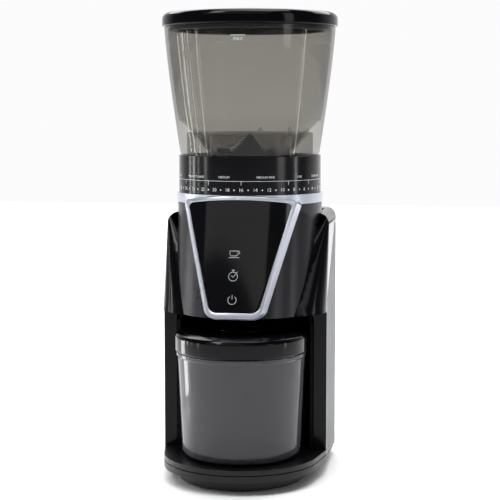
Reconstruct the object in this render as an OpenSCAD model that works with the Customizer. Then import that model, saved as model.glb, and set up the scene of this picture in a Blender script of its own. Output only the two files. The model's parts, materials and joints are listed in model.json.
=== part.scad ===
// Conical burr coffee grinder: bean hopper over a stepped grind ring, a
// leaning touch panel, a bay with a lidded jar for the ground coffee, and a
// geared motor behind the bay.
// X runs across the front, Y runs from front to back, Z is up. The origin is
// on the floor under the middle of the object's box. The hopper, the ring and
// the burrs share one upright axis, which stands axis_y behind the origin,
// and every module below is drawn from that axis.

/* [Body] */
// Width across the two side shells
body_w = 130; // [126:1:136]
// Distance from the grinding axis to the front of the base
base_front = 102; // [98:1:104]
// Distance from the grinding axis to the back cover
body_rear = 72; // [68:1:74]
// Height of the shoulders of the side shells
shoulder_z = 206; // [202:1:208]
// Thickness of the moulded walls
wall = 3; // [2.6:0.2:3.2]

/* [Hopper] */
// Diameter of the hopper lid
lid_d = 139; // [138:0.5:141]
// Radius of the hopper where it stands in the grind ring
hopper_low_r = 55.2; // [54.6:0.2:55.6]
// Radius of the hopper at its rim
hopper_top_r = 67.8; // [66.8:0.2:68]
// Height of the hopper rim above the floor
hopper_rim_z = 352; // [346:1:358]

/* [Grind ring] */
// Outer diameter of the grind ring
ring_d = 113; // [111:0.5:114]
// Number of grind settings marked on the ring
settings = 31; // [25:2:33]
// Degrees between two settings
setting_step = 5.5; // [4.5:0.5:5.5]

/* [Jar] */
// Radius of the jar at its foot
jar_foot_r = 46; // [44:0.5:47]
// Radius of the jar just under its lid
jar_top_r = 49.5; // [48:0.5:49.5]
// Radius of the jar lid
jar_lid_r = 51.3; // [50.5:0.1:51.5]

/* [Gear train] */
// Module of the gear teeth
gear_module = 1; // [1:0.5:1]
// Teeth of the motor pinion
pinion_teeth = 12; // [12:1:13]
// Teeth of the large wheel of the idler
idler_large_teeth = 40; // [38:2:40]
// Teeth of the small wheel of the idler
idler_small_teeth = 14; // [14:1:15]
// Teeth of the wheel on the burr shaft
output_teeth = 46; // [44:2:46]

/* [Hidden] */
$fn = 96;
gland_lip = 2.4;
axis_y = (base_front - body_rear - gland_lip) / 2;
half_w = body_w / 2;

// Heights of the layers of the base
foot_h = 2.5;
pan_z = 10;
pan_top = 15;
shell_z = 15.6;
tray_top = 19.5;
bay_top = 130;

// The bay is round at the back, about the axis of the jar
jar_y = -44;
bay_r = 55;
jar_z = tray_top + 0.3;
jar_rim_z = 101.2;
jar_lid_z = 101.8;
jar_lid_top = 117.5;
jar_wall = 2.2;
jar_hole_r = 15;

// The head is a cylinder that leans forward going down
head_r = 56.5;
head_lean = 13;
head_axis_y = -19;
head_back_y = -14;
neck_r = 57.5;
neck_top = 214.8;
band_top = 222.2;
shoulder_r = 9;

// The face is a shallow cylinder that leans further than the head
face_y = -84;
face_z = 131;
face_lean = 16;
face_r = 75;
bezel_depth = 6.4;

ring_z = band_top + 0.3;
ring_top = 251.5;
flange_z = 238;
guide_r = 43;
hopper_floor_z = 276;
throat_r = 28;
hopper_wall = 2.5;
lid_top = hopper_rim_z + 12;

// Gear train: the idler stands where its two centre distances meet
motor_y = 36;
idler_to_output = gear_module * (idler_small_teeth + output_teeth) / 2;
idler_to_motor = gear_module * (pinion_teeth + idler_large_teeth) / 2;
idler_y = (idler_to_output ^ 2 - idler_to_motor ^ 2 + motor_y ^ 2) / (2 * motor_y);
idler_x = sqrt(idler_to_output ^ 2 - idler_y ^ 2);
gearbox_z = 136;
gearbox_top = 164;
shaft_r = 5;
chamber_z = 170.2;
chamber_r = 36.4;
small_run = 0.03;

// ---------------------------------------------------------------- helpers

// Drawn from the grinding axis
module at_axis() {
    translate([0, axis_y, 0]) children();
}

// Drawn from the foot of the face, with Z up along it and -Y out of it
module on_face() {
    translate([0, face_y, face_z]) rotate([-face_lean, 0, 0]) children();
}

// A ring about the Z axis
module ring(r_out, r_in, z0, z1) {
    translate([0, 0, z0]) difference() {
        cylinder(r = r_out, h = z1 - z0);
        translate([0, 0, -1]) cylinder(r = r_in, h = z1 - z0 + 2);
    }
}

// A box between two corners
module span(a, b) {
    translate(a) cube(b - a);
}

// The leaning cylinder of the head, from below the bay's roof to the neck
module head_cylinder(r) {
    translate([0, head_axis_y, face_z]) rotate([-head_lean, 0, 0])
        translate([0, 0, -20]) cylinder(r = r, h = 130);
}

// Trapezium of the face, rounded at its two lower corners
module face_outline(low_w, top_w, low_s, top_s, r, top_r) {
    hull() {
        for (side = [-1, 1]) {
            translate([side * (low_w - r), low_s + r]) circle(r = r, $fn = 40);
            translate([side * (top_w - top_r), top_s - top_r]) circle(r = top_r, $fn = 24);
        }
    }
}

module bezel_outline() {
    face_outline(21, 45, 0, 95, 9, 1);
}

module panel_outline(gap) {
    face_outline(18.6 - gap, 40.6 - gap, 4.8 + gap, 91.6 - gap, 8, 3.4);
}

// A prism through the face, from depth y0 to depth y1
module through_face(y0, y1) {
    translate([0, y1, 0]) rotate([90, 0, 0]) linear_extrude(y1 - y0) children();
}

// The shallow cylinder of the face, between two depths
module face_sheet(d0, d1) {
    translate([0, face_r, -20]) difference() {
        cylinder(r = face_r - d0, h = 140);
        translate([0, 0, -1]) cylinder(r = face_r - d1, h = 142);
    }
}

// Outline of the base: straight sides that run into a round front
base_r = 61;
flare_y = -26;
module base_outline(inset) {
    cy = -base_front + base_r;
    r = base_r - inset;
    w = half_w - inset;
    d = sqrt(w ^ 2 + (flare_y - cy) ^ 2);
    a = atan2(flare_y - cy, w) - acos(r / d);
    tx = r * cos(a);
    ty = cy + r * sin(a);
    translate([0, cy]) circle(r = r);
    polygon([[tx, ty], [w, flare_y], [-w, flare_y], [-tx, ty]]);
    tower_outline(inset);
}

// Outline of the tower: straight sides and two rounded rear corners
corner_r = 30;
module tower_outline(inset) {
    w = half_w - inset;
    r = corner_r - inset;
    cy = body_rear - corner_r;
    translate([-w, flare_y]) square([2 * w, cy - flare_y]);
    translate([corner_r - half_w, cy - 1]) square([2 * (half_w - corner_r), r + 1]);
    for (side = [-1, 1]) translate([side * (half_w - corner_r), cy]) circle(r = r);
}

// Front view of a side shell: a column, and over the bay a cheek whose inner
// edge slants inwards going down
cheek_low_x = 43;
cheek_top_x = 57;
bay_corner_r = 8;
module side_front_outline(inset) {
    w = half_w - inset;
    z = shoulder_z - inset;
    difference() {
        polygon([
            [bay_r, shell_z], [w, shell_z], [w, z], [cheek_top_x - 1, z],
            [cheek_top_x, shoulder_z - 6], [cheek_low_x, bay_top], [bay_r, bay_top]
        ]);
        difference() {
            translate([w - shoulder_r, z - shoulder_r]) square(shoulder_r + 1);
            translate([w - shoulder_r, z - shoulder_r]) circle(r = shoulder_r);
        }
    }
    // rounded upper corner of the bay
    difference() {
        translate([bay_r - bay_corner_r, bay_top - bay_corner_r]) square(bay_corner_r + 0.1);
        translate([bay_r - bay_corner_r, bay_top - bay_corner_r]) circle(r = bay_corner_r);
    }
}

// The cheek is a cone that leans back with the head. It touches the flat side
// of the shell along a line, and the shell is flat behind that line
cheek_y = -26;
cheek_apex = [half_w, -9.2, 205.8];
cheek_angle = 19.4;
cheek_long = 240;
module behind_cheek(inset) {
    translate(cheek_apex) rotate([-head_lean, 0, 0]) {
        rotate([0, cheek_angle, 0]) translate([0, 0, -cheek_long - inset / sin(cheek_angle)])
            cylinder(r1 = cheek_long * tan(cheek_angle), r2 = 0, h = cheek_long);
        translate([-200, 0, -300]) cube([400, 300, 600]);
    }
}

// Outline of a toothed wheel with involute flanks, a little thin for backlash
pressure = 20;
tooth_thinning = 0.09;
flank_steps = 3;
module wheel_outline(teeth) {
    rp = gear_module * teeth / 2;
    rb = rp * cos(pressure);
    ra = rp + gear_module * 0.92;
    rr = rp - gear_module * 1.2;
    half = 90 / teeth - tooth_thinning / rp * 180 / PI + inv_deg(pressure);
    flank = [for (i = [0 : flank_steps]) acos(rb / ra) * i / flank_steps];
    polygon([for (t = [0 : teeth - 1]) each concat(
        [root_point(rr, t * 360 / teeth - half)],
        [for (a = flank) flank_point(rb, a, t * 360 / teeth - half + inv_deg(a))],
        [for (i = [flank_steps : -1 : 0])
            flank_point(rb, flank[i], t * 360 / teeth + half - inv_deg(flank[i]))],
        [root_point(rr, t * 360 / teeth + half)]
    )]);
}

module tooth_gear(teeth, h, bore) {
    difference() {
        linear_extrude(h) wheel_outline(teeth);
        translate([0, 0, -1]) cylinder(r = bore, h = h + 2);
    }
}

// Involute of a pressure angle, in degrees
function inv_deg(a) = tan(a) * 180 / PI - a;
function root_point(r, a) = [r * cos(a), r * sin(a)];
function flank_point(rb, a, at) = [rb / cos(a) * cos(at), rb / cos(a) * sin(at)];

// ------------------------------------------------------------------- base

foot_places = [[-34, -58], [34, -58], [-40, 46], [40, 46]];
foot_r = 8;

module rubber_feet() {
    color("#1c1c1e") for (p = foot_places) translate([p[0], p[1], 0]) {
        cylinder(r = foot_r, h = foot_h);
        cylinder(r = foot_r - 2, h = foot_h + 2);
    }
}

// The bottom plate stands in from the pan and carries the feet
module base_plate() {
    color("#151517") difference() {
        translate([0, 0, foot_h - 1]) linear_extrude(pan_z - foot_h + 1) base_outline(12);
        translate([0, 0, foot_h + 3]) linear_extrude(pan_z) base_outline(16);
        for (p = foot_places) translate([p[0], p[1], 0]) {
            cylinder(r = foot_r + 0.2, h = foot_h);
            cylinder(r = foot_r - 2 + 0.1, h = foot_h + 4);
        }
        for (i = [-3 : 3]) span([i * 7 - 1, 18, 0], [i * 7 + 1, 44, pan_z]);
        for (p = base_screw_places) translate([p[0], p[1], 0]) {
            cylinder(r = 3.2, h = foot_h + 0.5);
            cylinder(r = 1.7, h = pan_z);
        }
    }
}

base_screw_places = [[-20, -78], [20, -78], [-34, 8], [34, 8]];
module base_screws() {
    color("#b9babd") for (p = base_screw_places) translate([p[0], p[1], 0]) {
        translate([0, 0, foot_h - 1]) cylinder(r = 2.9, h = 1.3);
        translate([0, 0, foot_h]) cylinder(r = 1.5, h = 11);
    }
}

module base_pan() {
    color("#2b2b2e") difference() {
        translate([0, 0, pan_z]) linear_extrude(pan_top - pan_z) base_outline(0);
        translate([0, 0, pan_z + wall]) linear_extrude(pan_top) tower_well();
        for (p = base_screw_places) translate([p[0], p[1], pan_z - 1]) cylinder(r = 1.53, h = 7);
    }
}

// Room for the power board in the pan, behind the bay
module tower_well() {
    translate([-46, 16]) square([92, 46]);
}

// The tray fills the front of the base and the floor of the bay
module base_tray() {
    color("#232326") difference() {
        translate([0, 0, pan_top]) linear_extrude(tray_top - pan_top) tray_outline(0);
        translate([0, 0, pan_top - 1]) difference() {
            linear_extrude(shell_z - pan_top + 1) base_outline(-5);
            linear_extrude(shell_z - pan_top + 1) tray_outline(0.8);
        }
        translate([0, jar_y, tray_top - 0.6]) cylinder(r = bay_r - 4.5, h = 2);
    }
}

module tray_outline(inset) {
    difference() {
        base_outline(inset);
        translate([-100, 11]) square([200, 100]);
        for (side = [-1, 1]) translate([side * 75.2, 37.2]) square([40, 2 * 63], center = true);
        difference() {
            translate([-100, jar_y]) square([200, 100]);
            translate([0, jar_y]) circle(r = bay_r - 0.2);
            translate([-100, jar_y - 1]) square([200, 19]);
        }
    }
}

// ------------------------------------------------------------ outer shells

module side_shell_right() {
    color("#17171a") difference() {
        side_block(0);
        // hollow of the column and of the cheek
        difference() {
            side_hollow();
            span([bay_r - 9, -30, 0], [bay_r + 2.5, -14, bay_top + wall]);
        }
        // the corner of the bay is no deeper than the wall
        span([bay_r - 10, cheek_y + wall, 0], [bay_r, body_rear, bay_top]);
        intersection() {
            head_cylinder(head_r + 0.3);
            span([-80, -120, bay_top - 0.2], [80, 80, 300]);
        }
        translate([0, 0, 190]) cylinder(r = neck_r + 0.4, h = 40);
        panel_recess();
    }
}

// The block of a side shell, cut back along the bay
module side_block(inset) {
    difference() {
        intersection() {
            translate([0, body_rear - corner_r, 0]) rotate([90, 0, 0])
                linear_extrude(body_rear - corner_r + 70) side_front_outline(inset);
            behind_cheek(inset);
        }
        span([0, -80, 0], [100, cheek_y + inset, bay_top + inset]);
    }
}

module side_hollow() {
    w = half_w - wall;
    intersection() {
        span([30, -66, shell_z + wall], [w, body_rear, shoulder_z - wall]);
        behind_cheek(wall);
        union() {
            span([30, cheek_y + wall, 0], [w, body_rear, 300]);
            span([30, -66, bay_top + wall], [w, body_rear, 300]);
        }
    }
}

// Side view of the silver panel, a little inside the edge of the side shell
recess = 1.2;
module side_panel_outline(inset) {
    rear = body_rear - corner_r - 1;
    difference() {
        polygon([
            [cheek_y + 1.6 + inset, shell_z + 1.4 + inset],
            [cheek_y + 1.6 + inset, 140 - inset],
            [30 + inset, shoulder_z - 10 - inset],
            [rear - inset, shoulder_z - 10 - inset],
            [rear - inset, shell_z + 1.4 + inset]
        ]);
        translate([rear - 8, shoulder_z - 18]) difference() {
            square(9);
            circle(r = 8 - inset);
        }
    }
}

module panel_recess() {
    translate([half_w - recess, 0, 0]) rotate([90, 0, 90]) linear_extrude(5) side_panel_outline(0);
}

module side_panel_right() {
    color("#a3a4a8") translate([half_w - recess, 0, 0]) rotate([90, 0, 90])
        linear_extrude(recess - 0.1) side_panel_outline(0.15);
}

// Back of the tower, with its rounded corners
module rear_cover() {
    color("#17171a") difference() {
        rear_block(0);
        translate([0, -0.1, shell_z + wall]) rear_block(wall);
        translate([0, 0, 190]) cylinder(r = neck_r + 0.4, h = 40);
        // opening in its floor for the feet of the power board
        span([-44, 30, 0], [44, 63, shell_z + wall + 1]);
        // hole for the cord gland, and a column of vents
        translate([0, body_rear - 6, gland_z]) rotate([-90, 0, 0]) cylinder(r = 6.5, h = 12);
        for (i = [0 : 6]) span([-22, body_rear - 6, 60 + i * 6], [22, body_rear + 5, 62 + i * 6]);
    }
}

module rear_block(inset) {
    rear_y = body_rear - corner_r;
    w = half_w - inset;
    top = shoulder_z - inset;
    intersection() {
        translate([0, 0, inset > 0 ? 0 : shell_z])
            linear_extrude(top - shell_z - (inset > 0 ? wall : 0)) tower_outline(inset);
        span([-100, rear_y + 0.2, 0], [100, 100, 300]);
        rotate([90, 0, 0]) translate([0, 0, -100]) linear_extrude(200) shoulder_outline(w, inset);
    }
}

// Front view of the tower, with rounded shoulders
module shoulder_outline(w, inset) {
    z = shoulder_z - inset - (inset > 0 ? shell_z + wall : 0);
    translate([-w, 0]) square([2 * w, z - shoulder_r]);
    translate([shoulder_r - w, 0]) square([2 * (w - shoulder_r), z]);
    for (side = [-1, 1]) translate([side * (w - shoulder_r), z - shoulder_r]) circle(r = shoulder_r);
}

// Round back wall and roof of the bay
module bay_liner() {
    color("#0e0e10") difference() {
        translate([0, jar_y, tray_top + 0.1]) difference() {
            cylinder(r = bay_r + 2.4, h = bay_top + wall - tray_top - 0.1);
            translate([0, 0, -1]) cylinder(r = bay_r, h = bay_top - tray_top + 0.9);
        }
        // the wall starts at the columns, and the roof behind the head
        span([-80, -120, 0], [80, cheek_y + 0.2, 200]);
        span([-80, -120, bay_top - bay_corner_r - 1], [80, cheek_y + wall + 0.2, 200]);
        span([-80, -120, bay_top - 0.1], [80, head_back_y + 0.2, 200]);
    }
}

module head_shell() {
    color("#26262a") difference() {
        intersection() {
            head_cylinder(head_r);
            union() {
                span([-80, -100, bay_top], [80, head_back_y, neck_top]);
                span([-80, -100, bay_top + wall + 1], [80, 0, neck_top]);
                span([-80, -100, gearbox_top + 6.5], [80, 20, neck_top]);
            }
        }
        intersection() {
            head_cylinder(head_r - wall);
            span([-80, -100, bay_top + wall], [80, 40, neck_top + 1]);
        }
        bezel_pocket();
        neck_space();
        chute_space(0.4);
        // slot for the ribbon
        span([-20, -80, 148], [-17.2, -50, 159]);
    }
}

// Room for the neck inside the head
module neck_space() {
    translate([0, 0, 196]) cylinder(r = neck_r + 0.1, h = 40);
}

module neck_shell() {
    color("#1b1b1e") difference() {
        union() {
            ring(neck_r, neck_r - wall, 198, neck_top);
            ring(neck_r, guide_r - 3, neck_top - 3, neck_top);
            ring(guide_r, guide_r - 3, neck_top - 3, 236);
        }
        bezel_pocket();
    }
}

module neck_band() {
    color("#b4b7be") difference() {
        ring(58.2, 54, neck_top + 0.1, band_top);
        bezel_pocket();
    }
}

module panel_bezel() {
    color("#ccd0d8") difference() {
        intersection() {
            on_face() intersection() {
                face_sheet(0, bezel_depth);
                through_face(-5, 40) bezel_outline();
            }
            span([-80, -120, 100], [80, 0, band_top]);
        }
        on_face() through_face(-20, 50) panel_outline(0);
        translate([0, 0, neck_top]) cylinder(r = 54, h = 20);
    }
}

// Room for the bezel in the pieces behind it
module bezel_pocket() {
    on_face() intersection() {
        through_face(-20, 60) offset(delta = 0.1) bezel_outline();
        face_sheet(-20, bezel_depth + 0.1);
    }
}

module touch_panel() {
    color("#08080a") on_face() intersection() {
        face_sheet(0.5, 2.7);
        through_face(-5, 40) panel_outline(0.1);
    }
}

module touch_board() {
    color("#1f5a36") on_face() span([-15, 4.6, 14], [15, 6.2, 72]);
}

// Ribbon from the touch board, past the gearbox and down to the power board
module panel_lead() {
    color("#d8d8d8") {
        on_face() span([-19, 5.5, 20], [-15.2, 6.4, 30]);
        span([-19, -70.6, 150], [-18.2, -36, 157]);
        span([-46, -36.8, 150], [-18.2, -36, 157]);
        span([-46, -36.8, 150], [-45.2, 32, 157]);
        span([-46, 24, 24.8], [-45.2, 32, 157]);
        span([-46, 24, 24.6], [-38, 32, 25.4]);
    }
}

// ------------------------------------------------------------------ inside

module chute_space(gap) {
    span([-10 - gap, -56.8 - gap, 100], [10 + gap, -39.9 + gap, bay_top + wall + 2]);
}

module chute() {
    color("#202024") difference() {
        span([-10, -56.8, 128], [10, -39.9, 188]);
        span([-8.5, -55, 100], [8.5, -41.6, 186]);
        span([-8, -50, chamber_z + 3.4], [8, -30, 184]);
    }
}

bush_places = [[-24, -6], [24, -6], [0, 9]];
module damper_bushes() {
    color("#2a2a2a") for (p = bush_places) translate([p[0], p[1], bay_top + wall]) {
        cylinder(r = 4, h = gearbox_z - bay_top - wall);
    }
}

// Outline of the gearbox round its three axes
module gearbox_outline(inset) {
    hull() {
        circle(r = 30 - inset);
        translate([idler_x, idler_y]) circle(r = 25.5 - inset);
        translate([0, motor_y]) circle(r = 22 - inset);
    }
}

module gearbox_base() {
    color("#3a3b3e") difference() {
        union() {
            translate([0, 0, gearbox_z]) linear_extrude(5.4) gearbox_outline(0);
            translate([0, 0, gearbox_z]) linear_extrude(gearbox_top - gearbox_z) difference() {
                gearbox_outline(0);
                gearbox_outline(2.2);
            }
            // bosses for the cover screws, inside the wall and over the large wheel
            intersection() {
                for (p = cover_screw_places) translate([p[0], p[1], gearbox_z + 16])
                    cylinder(r = 3.2, h = gearbox_top - gearbox_z - 16);
                translate([0, 0, gearbox_z]) linear_extrude(40) gearbox_outline(0);
            }
        }
        for (p = cover_screw_places) translate([p[0], p[1], gearbox_top - 8]) cylinder(r = 1.42, h = 10);
        translate([0, 0, gearbox_z - 1]) cylinder(r = 9 + small_run, h = 10);
        translate([0, motor_y, gearbox_z - 1]) cylinder(r = 6, h = 10);
        translate([idler_x, idler_y, gearbox_z + 1]) cylinder(r = 3, h = 10);
        for (side = [-1, 1]) translate([side * 12, motor_y, gearbox_z - 1]) cylinder(r = 1.6, h = 10);
    }
}

module gearbox_cover() {
    color("#3a3b3e") difference() {
        union() {
            translate([0, 0, gearbox_top]) linear_extrude(4) gearbox_outline(0);
            translate([0, 0, gearbox_top]) cylinder(r = 14, h = 6);
        }
        translate([0, 0, gearbox_top - 1]) cylinder(r = 11 + small_run, h = 9);
        translate([idler_x, idler_y, gearbox_top - 1]) cylinder(r = 3, h = 4);
        for (p = cover_screw_places) translate([p[0], p[1], gearbox_top - 1]) cylinder(r = 1.6, h = 6);
        for (p = chamber_screw_places) translate([p[0], p[1], gearbox_top - 1]) cylinder(r = 1.5, h = 8);
    }
}

cover_screw_places = [[-22, -16.5], [22, -16.5], [40, 33], [-12, 50]];
module gearbox_screws() {
    color("#c3c4c7") for (p = cover_screw_places) translate([p[0], p[1], 0]) {
        translate([0, 0, gearbox_top + 4]) cylinder(r = 2.8, h = 1.8);
        translate([0, 0, gearbox_top - 7]) cylinder(r = 1.4, h = 11.1);
    }
}

module motor_can() {
    color("#8d9096") translate([0, motor_y, 0]) difference() {
        union() {
            translate([0, 0, 66]) cylinder(r = 21, h = gearbox_z - 66);
            translate([0, 0, 62]) cylinder(r = 8, h = 5);
        }
        translate([0, 0, 69]) cylinder(r = 18.6, h = gearbox_z - 69 - 3);
        translate([0, 0, 60]) cylinder(r = 2.5 + small_run, h = 100);
        for (side = [-1, 1]) translate([side * 12, 0, gearbox_z - 4]) cylinder(r = 1.45, h = 10);
    }
}

module motor_rotor() {
    color("#b0682c") translate([0, motor_y, 0]) {
        translate([0, 0, 61]) cylinder(r = 2.5, h = 92);
        translate([0, 0, 74]) cylinder(r = 15, h = 48);
    }
}

module drive_pinion() {
    color("#c9a24a") translate([0, motor_y, gearbox_z + 6.4])
        rotate([0, 0, pinion_phase]) tooth_gear(pinion_teeth, 10, 2.5 + small_run);
}

module motor_screws() {
    color("#c3c4c7") for (side = [-1, 1]) translate([side * 12, motor_y, 0]) {
        translate([0, 0, gearbox_z + 5.4]) cylinder(r = 2.8, h = 0.9);
        translate([0, 0, gearbox_z - 3.6]) cylinder(r = 1.4, h = 9.2);
    }
}

module motor_leads() {
    for (side = [-1, 1]) color(side > 0 ? "#b02020" : "#202020")
        translate([side * 13, motor_y, 24.6]) cylinder(r = 1.1, h = 66 - 24.6);
}

module power_board() {
    color("#1f5a36") union() {
        span([-40, 18, 23], [40, 60, 24.6]);
        for (x = [-30, -18]) translate([x, 26, 24]) cylinder(r = 4.5, h = 16);
        span([22, 22, 24], [36, 30, 38]);
        for (x = [-36, 36]) for (y = [21, 57]) translate([x, y, pan_z + wall]) cylinder(r = 2, h = 10.2);
    }
}

module transformer() {
    color("#c8b23c") union() {
        span([-38, 40, 24.6], [-18, 56, 42]);
        span([-35, 37, 26], [-21, 59, 40]);
    }
}

gland_z = 30;
module cord_gland() {
    color("#1a1a1a") translate([0, body_rear, gland_z]) rotate([-90, 0, 0]) difference() {
        union() {
            translate([0, 0, -9]) cylinder(r = 6.3, h = 9);
            cylinder(r = 8.5, h = gland_lip);
            translate([0, 0, -9]) cylinder(r = 8, h = 5.8);
        }
        translate([0, 0, -10]) cylinder(r = 3.6, h = 14);
    }
}

module idler_pin() {
    color("#c3c4c7") translate([idler_x, idler_y, gearbox_z + 1])
        cylinder(r = 2.97, h = gearbox_top - gearbox_z + 1.5);
}

module idler_gear() {
    color("#e4e0d4") translate([idler_x, idler_y, gearbox_z]) difference() {
        union() {
            translate([0, 0, 6.6]) linear_extrude(8)
                rotate([0, 0, idler_large_phase]) wheel_outline(idler_large_teeth);
            translate([0, 0, 10]) linear_extrude(16.6)
                rotate([0, 0, idler_small_phase]) wheel_outline(idler_small_teeth);
        }
        cylinder(r = 3.05, h = 40);
    }
}

module output_gear() {
    color("#c9a24a") translate([0, 0, gearbox_z + 16])
        rotate([0, 0, output_phase]) tooth_gear(output_teeth, 9, shaft_r + small_run);
}

// A tooth of one wheel points along the line of centres, and a gap of the
// other faces it
to_idler = atan2(idler_y, idler_x);
to_motor = atan2(motor_y - idler_y, -idler_x);
output_phase = to_idler;
idler_small_phase = to_idler + 180 + 180 / idler_small_teeth;
idler_large_phase = to_motor;
pinion_phase = to_motor + 180 + 180 / pinion_teeth;

module burr_shaft() {
    color("#d0d2d6") translate([0, 0, gearbox_z + 0.5]) cylinder(r = shaft_r, h = 79);
}

module lower_bearing() {
    color("#b8863b") ring(9, shaft_r + 0.05, gearbox_z, gearbox_z + 5.4);
}

module upper_bearing() {
    color("#c6c8cc") ring(11, shaft_r + 0.05, gearbox_top, gearbox_top + 6);
}

module shaft_seal() {
    color("#8a8378") ring(8.9, shaft_r + 0.3, chamber_z + 0.1, chamber_z + 2.7);
}

module grind_chamber() {
    color("#d8d4c8") difference() {
        union() {
            ring(chamber_r + 3, chamber_r, chamber_z, 209);
            translate([0, 0, chamber_z]) cylinder(r = chamber_r + 1, h = 3);
            for (p = chamber_screw_places) translate([p[0], p[1], gearbox_top + 4])
                cylinder(r = 4, h = chamber_z + 3 - gearbox_top - 4);
        }
        translate([0, 0, chamber_z - 1]) cylinder(r = 9, h = 6);
        for (p = chamber_screw_places) translate([p[0], p[1], gearbox_top]) {
            cylinder(r = 1.5, h = 20);
            translate([0, 0, 6.6]) cylinder(r = 3, h = 10);
        }
        // way out to the chute
        span([-8, -60, chamber_z + 3], [8, -20, 184]);
    }
}

chamber_screw_places = [[-26, 0], [26, 0], [0, 26]];
module chamber_screws() {
    color("#c3c4c7") for (p = chamber_screw_places) translate([p[0], p[1], 0]) {
        translate([0, 0, gearbox_top + 6.7]) cylinder(r = 2.8, h = 1.6);
        translate([0, 0, gearbox_top]) cylinder(r = 1.4, h = 7);
    }
}

module sweeper() {
    color("#e9e6dc") difference() {
        union() {
            translate([0, 0, 174]) cylinder(r = 10, h = 9.8);
            translate([0, 0, 181]) cylinder(r = 18, h = 2.8);
            for (i = [0 : 3]) rotate([0, 0, i * 90 + 45]) span([8, -1.5, 174], [34.5, 1.5, 183.8]);
        }
        translate([0, 0, 170]) cylinder(r = shaft_r + small_run, h = 20);
    }
}

// Inner burr: a steel cone cut with slanting flutes
flutes = 12;
module lower_burr() {
    color("#9a9ca0") difference() {
        translate([0, 0, 184]) cylinder(r1 = 20, r2 = 12, h = 24);
        translate([0, 0, 180]) cylinder(r = shaft_r + small_run, h = 40);
        for (i = [0 : flutes - 1]) rotate([0, 0, i * 360 / flutes])
            translate([16, 0, 196]) rotate([20, -18.4, 0]) span([-1.2, -1.1, -20], [6, 1.1, 20]);
    }
}

module burr_nut() {
    color("#c3c4c7") translate([0, 0, 208]) difference() {
        cylinder(r = 8.6, h = 6, $fn = 6);
        translate([0, 0, -1]) cylinder(r = shaft_r + small_run, h = 10);
    }
}

// Outer burr: a steel ring whose bore closes on the cone at its foot
module upper_burr() {
    color("#9a9ca0") difference() {
        translate([0, 0, 188]) cylinder(r = 27.2, h = 16);
        translate([0, 0, 187]) cylinder(r1 = 19.6, r2 = 23.4, h = 18);
        for (i = [0 : flutes - 1]) rotate([0, 0, i * 360 / flutes])
            translate([21.6, 0, 196]) rotate([-20, 12, 0]) span([-3, -1, -12], [1, 1, 12]);
    }
}

tab_places = [30, 150, 270];
module burr_carrier() {
    color("#d8d4c8") difference() {
        union() {
            ring(36, 27.2 + small_run, 188, 204);
            ring(36, 24.5, 204.05, 212);
            ring(36, 27.2 + small_run, 203, 204.05);
            ring(32.9, 31, 211, 232);
        }
        for (a = tab_places) rotate([0, 0, a]) span([33.1, -4.5, 205], [40, 4.5, 220]);
    }
}

// Strip of spring steel whose nose clicks along the notches under the ring
module detent_leaf() {
    color("#c9cbd0") rotate([0, 0, 200]) {
        span([47.5, -14, neck_top], [51.5, -8, neck_top + 2]);
        span([48, -10, neck_top + 2], [52, 12, neck_top + 2.5]);
        translate([48, 0, neck_top + 3.9]) rotate([0, 90, 0]) cylinder(r = 1, h = 4);
        span([48, -1, neck_top + 2], [52, 1, neck_top + 3.9]);
    }
}

module grind_ring() {
    r = ring_d / 2;
    color("#0b0b0d") difference() {
        union() {
            ring(r, r - 3.1, ring_z, ring_top);
            ring(r - 2, 33.4, flange_z, flange_z + 3);
            ring(46.2, guide_r + 0.3, 224, flange_z + 1);
            // drive tabs that turn the burr carrier
            for (a = tab_places) rotate([0, 0, a]) intersection() {
                ring(35.7, 33.4, 206, flange_z + 1);
                span([30, -4, 200], [40, 4, flange_z + 1]);
            }
            // ledge with the click notches
            ring(53.6, 47.6, 220, 223.4);
            ring(r - 2.5, 46, 222.6, 224.6);
        }
        for (i = [-(settings - 1) / 2 : (settings - 1) / 2])
            rotate([0, 0, 200 + i * setting_step]) translate([46.5, 0, 219.4]) rotate([0, 90, 0])
                cylinder(r = 1.4, h = 8);
    }
}

// ------------------------------------------------------------------ hopper

hopper_r = function(z) hopper_low_r + (hopper_top_r - hopper_low_r)
    * (1 - (1 - (z - ring_top) / (hopper_rim_z - ring_top)) ^ 1.25);

module hopper_shell() {
    steps = 12;
    wall_z = [for (i = [0 : steps]) ring_top + 0.4 + (hopper_rim_z - ring_top - 0.4) * i / steps];
    outer = [for (z = wall_z) [hopper_r(z), z]];
    low = hopper_floor_z + 2;
    inner_z = [for (i = [steps : -1 : 0]) low + (hopper_rim_z - low) * i / steps];
    inner = [for (z = inner_z) [hopper_r(z) - hopper_wall, z]];
    skirt_r = hopper_low_r - 2.4;
    funnel_r = hopper_low_r - 5;
    color("#8a8985", 0.45) rotate_extrude() polygon(concat(
        [[throat_r + 2.4, 228], [throat_r + 2.4, 251], [skirt_r - hopper_wall, 271],
         [skirt_r - hopper_wall, flange_z + 3.2], [skirt_r, flange_z + 3.2], [skirt_r, ring_top + 0.4]],
        outer, inner,
        [[funnel_r, hopper_floor_z - 2], [throat_r, 252], [throat_r, 228]]
    ));
}

// Cone over the throat, on three arms
module feed_guard() {
    color("#1d1d1f") union() {
        difference() {
            translate([0, 0, 254.5]) cylinder(r1 = 20, r2 = 1.5, h = 14);
            translate([0, 0, 253.5]) cylinder(r1 = 18.6, r2 = 0.6, h = 12.6);
        }
        for (a = tab_places) rotate([0, 0, a + 60]) span([14, -1.2, 252.6], [27.9, 1.2, 256.6]);
        difference() {
            translate([0, 0, 249]) cylinder(r = 27.9, h = 4);
            translate([0, 0, 248]) cylinder(r = 26.2, h = 6);
        }
    }
}

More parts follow.
